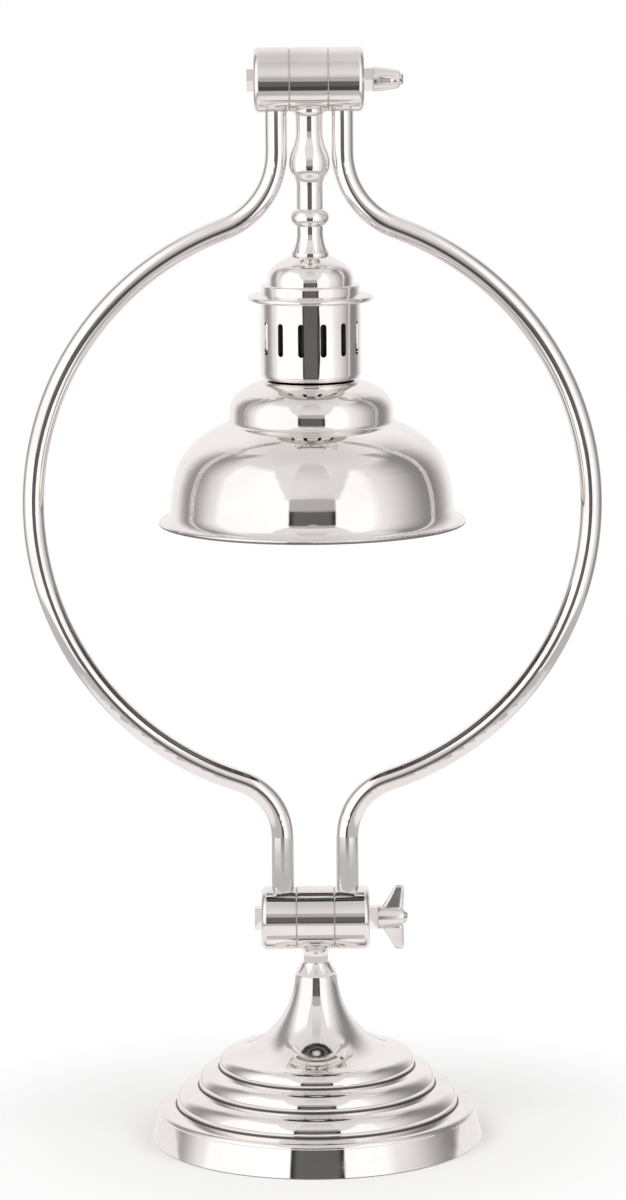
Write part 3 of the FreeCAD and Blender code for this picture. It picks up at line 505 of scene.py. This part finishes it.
# %% Felt and the fibre washers
def make_felt():
    material, net = new_material("green_felt")
    hairs = grain(net, place_on_part(net, (1.0, 1.0, 0.4)), 0.0007, 4.0)
    tufts = grain(net, place_on_part(net), 0.006, 3.0)
    colour = blend_colours(net, soft_step(hairs, 0.3, 0.7),
                           (0.018, 0.045, 0.028), (0.055, 0.105, 0.070))
    colour = blend_colours(net, soft_step(tufts, 0.45, 0.75) * 0.5, colour, (0.030, 0.062, 0.042))
    finish_material(net, Base_Color=colour, Roughness=0.95, Sheen_Weight=0.5, Sheen_Roughness=0.5,
                    Normal=bump(net, hairs, 0.0004))
    return material


def make_fibre():
    material, net = new_material("grey_fibre")
    strands = grain(net, place_on_part(net, (1.0, 4.0, 1.0)), 0.0012, 3.0)
    colour = blend_colours(net, strands, (0.46, 0.44, 0.42), (0.64, 0.62, 0.60))
    finish_material(net, Base_Color=colour, Roughness=0.65, Normal=bump(net, strands, 0.00005))
    return material


felt, fibre = make_felt(), make_fibre()
print("felt and fibre")

# %% Phenolic and the two glasses
def make_phenolic():
    material, net = new_material("black_phenolic")
    place = place_on_part(net)
    flow = grain(net, place, 0.006, 3.0)
    dust = soft_step(grain(net, place, 0.0012, 2.0), 0.62, 0.75)
    colour = blend_colours(net, flow, (0.022, 0.020, 0.018), (0.042, 0.038, 0.034))
    colour = blend_colours(net, dust * 0.25, colour, (0.11, 0.10, 0.09))
    finish_material(net, Base_Color=colour, Roughness=0.24 + flow * 0.16 + dust * 0.10,
                    Normal=bump(net, flow, 0.00004))
    return material


def make_opal_glass():
    material, net = new_material("opal_glass")
    place = place_on_part(net)
    cloud = grain(net, place, 0.010, 2.0)
    colour = blend_colours(net, cloud, (0.90, 0.89, 0.86), (0.95, 0.945, 0.93))
    finish_material(net, Base_Color=colour, Roughness=0.10 + cloud * 0.06, Coat_Weight=0.8,
                    Coat_Roughness=0.03, Subsurface_Weight=0.25, Subsurface_Scale=0.004,
                    Normal=bump(net, cloud, 0.00003))
    return material


def make_black_glass():
    material, net = new_material("black_glass")
    swirl = grain(net, place_on_part(net), 0.004, 3.0)
    colour = blend_colours(net, swirl, (0.010, 0.010, 0.013), (0.035, 0.033, 0.038))
    finish_material(net, Base_Color=colour, Roughness=0.14 + swirl * 0.10, Normal=bump(net, swirl, 0.00005))
    return material


phenolic, opal_glass, black_glass = make_phenolic(), make_opal_glass(), make_black_glass()
print("phenolic and glass")

# %% Brass, steel and iron
def make_turned_metal(name, light, deep, rough, marks):
    """A plain metal with turning marks, a little stained."""
    material, net = new_material(name)
    place = place_on_part(net)
    stain = soft_step(grain(net, place, 0.009, 3.0), 0.45, 0.75)
    lines = grain(net, place_on_part(net, marks), 0.012, 2.0)
    colour = blend_colours(net, stain, light, deep)
    finish_material(net, Base_Color=colour, Metallic=1.0, Roughness=rough + lines * 0.14 + stain * 0.10,
                    Normal=bump(net, lines, 0.00002))
    return material


def make_iron():
    material, net = new_material("grey_cast_iron")
    place = place_on_part(net)
    sand = grain(net, place, 0.0016, 4.0)
    rust = soft_step(grain(net, place, 0.014, 4.0), 0.58, 0.80)
    colour = blend_colours(net, sand, (0.055, 0.055, 0.058), (0.115, 0.112, 0.112))
    colour = blend_colours(net, rust * 0.6, colour, (0.16, 0.075, 0.035))
    finish_material(net, Base_Color=colour, Metallic=0.55 - rust * 0.4, Roughness=0.62 + sand * 0.2,
                    Normal=bump(net, sand, 0.0004))
    return material


brass = make_turned_metal("plain_brass", (0.84, 0.66, 0.33), (0.62, 0.44, 0.20), 0.20, (1.0, 1.0, 40.0))
steel = make_turned_metal("zinc_steel", (0.66, 0.67, 0.70), (0.48, 0.50, 0.54), 0.26, (1.0, 1.0, 40.0))
iron = make_iron()
print("brass, steel and iron")

# %% Rubber and the lead's sheath
def make_rubber(name, light, deep, rough):
    material, net = new_material(name)
    place = place_on_part(net)
    skin = grain(net, place, 0.0009, 3.0)
    dust = soft_step(grain(net, place, 0.007, 3.0), 0.52, 0.78)
    colour = blend_colours(net, dust, deep, light)
    finish_material(net, Base_Color=colour, Roughness=rough + skin * 0.15, Normal=bump(net, skin, 0.00006))
    return material


rubber = make_rubber("black_rubber", (0.060, 0.058, 0.055), (0.018, 0.018, 0.019), 0.55)
sheath = make_rubber("lead_sheath", (0.075, 0.072, 0.068), (0.030, 0.029, 0.028), 0.38)
print("rubber and sheath")

# %% [markdown]
# ## Dressing the solid parts
# Each part of the imported model already has a material slot, so its finish goes straight into
# that slot and the part itself stays as it is. A table from finish to parts keeps the choice
# in one place, and the last line prints any part that was left out.

# %% Give each part its finish
FINISHES = (
    (nickel_base, ("base_shell",)),
    (nickel_spun, ("neck_collar", "stem", "cap_dome", "vent_collar")),
    (nickel_shade, ("shade",)),
    (nickel_tube, ("ring_tube_left", "ring_tube_right")),
    (nickel_barrel, tuple(level + piece for level in ("lower_", "upper_") for piece in
                          ("left_knuckle", "centre_knuckle", "right_knuckle", "hinge_bolt", "hex_nut"))),
    (nickel_cast, ("lower_wing_nut", "upper_wing_nut")),
    (felt, ("felt_pad",)),
    (fibre, ("lower_friction_washers", "upper_friction_washers")),
    (phenolic, ("lampholder_body", "shade_ring")),
    (opal_glass, ("bulb_glass",)),
    (black_glass, ("bulb_insulator",)),
    (brass, ("base_locknut", "tie_rod", "stem_nipple", "stem_locknut", "lampholder_cap", "screw_shell",
             "holder_contact", "terminal_screws", "bulb_cap", "bulb_contact")),
    (steel, ("base_plate", "base_plate_screws", "base_washer")),
    (iron, ("base_weight",)),
    (rubber, ("cord_bush",)),
    (sheath, ("base_lead", "ring_lead", "head_lead")),
)


def dress_parts():
    """Put every finish in the slots of its parts, and return the parts left plain."""
    plain = set(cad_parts)
    for material, names in FINISHES:
        for name in names:
            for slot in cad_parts[name].material_slots:
                slot.material = material
            plain.discard(name)
    return plain


print("parts left plain:", sorted(dress_parts()))

# %% [markdown]
# ## The two wing nuts
# Each hinge is clamped by a cast wing nut. Its ears are petals: thick and broad where they
# leave the hub, thin and narrow at a rounded tip, and lined up with the hub's outer end. The
# hub is a profile spun round the bolt. An ear starts as a rounded patch inside the hub that
# is drawn out section by section, as clay would be, and a Subdivision Surface turns the
# sections into one smooth casting. Carving the ear out of a plate with booleans would give
# it the hard edges of a stamping. Distances are along the bolt from the base's axis.

# %% Spin the hub
NUT_FOOT, NUT_END = 0.0315, 0.0447
NUT_BORE = 0.00305
HUB_PROFILE = ((NUT_FOOT, NUT_BORE), (NUT_FOOT, 0.0062), (0.0331, 0.0062),
               (0.0430, 0.0049), (NUT_END, 0.0042), (NUT_END, NUT_BORE))


def spin_hub(mesh):
    """Spin the hub's closed profile once round the X axis, then ease its edges."""
    corners = [mesh.verts.new((along, 0.0, out)) for along, out in HUB_PROFILE]
    edges = [mesh.edges.new(pair) for pair in zip(corners, corners[1:] + corners[:1])]
    bmesh.ops.spin(mesh, geom=corners + edges, cent=(0.0, 0.0, 0.0), axis=(1.0, 0.0, 0.0),
                   angle=math.tau, steps=40, use_merge=True)
    bmesh.ops.remove_doubles(mesh, verts=mesh.verts, dist=1e-6)
    bmesh.ops.recalc_face_normals(mesh, faces=mesh.faces)
    ridges = [edge for edge in mesh.edges if edge.calc_face_angle(0.0) > math.radians(25)]
    bmesh.ops.bevel(mesh, geom=ridges, offset=0.0003, segments=2, profile=0.5, affect="EDGES",
                    material=-1)


print("hub: %.1f mm long, profile of %d corners" % ((NUT_END - NUT_FOOT) * 1000, len(HUB_PROFILE)))

# %% Draw out an ear
EAR_SECTIONS = (
    # height above the bolt's axis, inner edge, outer edge, thickness
    (0.0036, 0.0326, 0.0443, 0.0050),
    (0.0058, 0.0336, 0.0444, 0.0044),
    (0.0090, 0.0361, 0.0445, 0.0037),
    (0.0125, 0.0381, 0.0446, 0.0033),
    (0.0150, 0.0394, 0.0446, 0.0030),
    (0.0166, 0.0405, 0.0443, 0.0022),
)


def draw_ear(mesh, turned):
    """One ear along +Z, turned about the bolt when its sections are done."""
    already = set(mesh.verts)
    patch = bmesh.ops.create_grid(mesh, x_segments=1, y_segments=1, size=0.5)["verts"]
    rounded = bmesh.ops.bevel(mesh, geom=patch, offset=0.28, segments=3, profile=0.5,
                              affect="VERTICES", material=-1)["verts"]
    face = rounded[0].link_faces[0]
    before = Matrix.Identity(4)
    for step, (rise, inner, outer, thick) in enumerate(EAR_SECTIONS):
        if step > 0:
            grown = bmesh.ops.extrude_face_region(mesh, geom=[face])["geom"]
            if step > 1:
                bmesh.ops.delete(mesh, geom=[face], context="FACES_ONLY")
            face = next(item for item in grown if isinstance(item, bmesh.types.BMFace))
        place = (Matrix.Translation(((inner + outer) / 2, 0.0, rise))
                 @ Matrix.Diagonal((outer - inner, thick, 1.0, 1.0)))
        bmesh.ops.transform(mesh, matrix=place @ before.inverted(), verts=face.verts)
        before = place
    ear = [vert for vert in mesh.verts if vert not in already]
    bmesh.ops.transform(mesh, matrix=Matrix.Rotation(turned, 4, "X"), verts=ear)


def make_wing_nut(name, bolt_height, turned):
    """The nut on the bolt at this height, its ears turned about the bolt."""
    mesh = bmesh.new()
    spin_hub(mesh)
    draw_ear(mesh, 0.0)
    draw_ear(mesh, math.pi)
    bmesh.ops.recalc_face_normals(mesh, faces=mesh.faces)
    place = Matrix.Translation((0.0, 0.0, bolt_height)) @ Matrix.Rotation(turned, 4, "X")
    bmesh.ops.transform(mesh, matrix=place, verts=mesh.verts)
    open_edges = sum(1 for edge in mesh.edges if len(edge.link_faces) != 2)
    for face in mesh.faces:
        face.smooth = True
    nut = new_piece("cast_" + name, mesh)
    round_off = nut.modifiers.new("round_off", "SUBSURF")
    round_off.levels = round_off.render_levels = 2
    nut.data.materials.append(nickel_cast)
    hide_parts(name)
    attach(nut, name)
    print(nut.name, "faces:", len(nut.data.polygons), "open edges:", open_edges)


make_wing_nut("lower_wing_nut", 0.1132, 0.0)
make_wing_nut("upper_wing_nut", 0.5345, math.pi / 2)

# %% [markdown]
# ## Finish
# The studio renders with plain, standard colours.

# %% Finish
scene.view_settings.view_transform = "Standard"
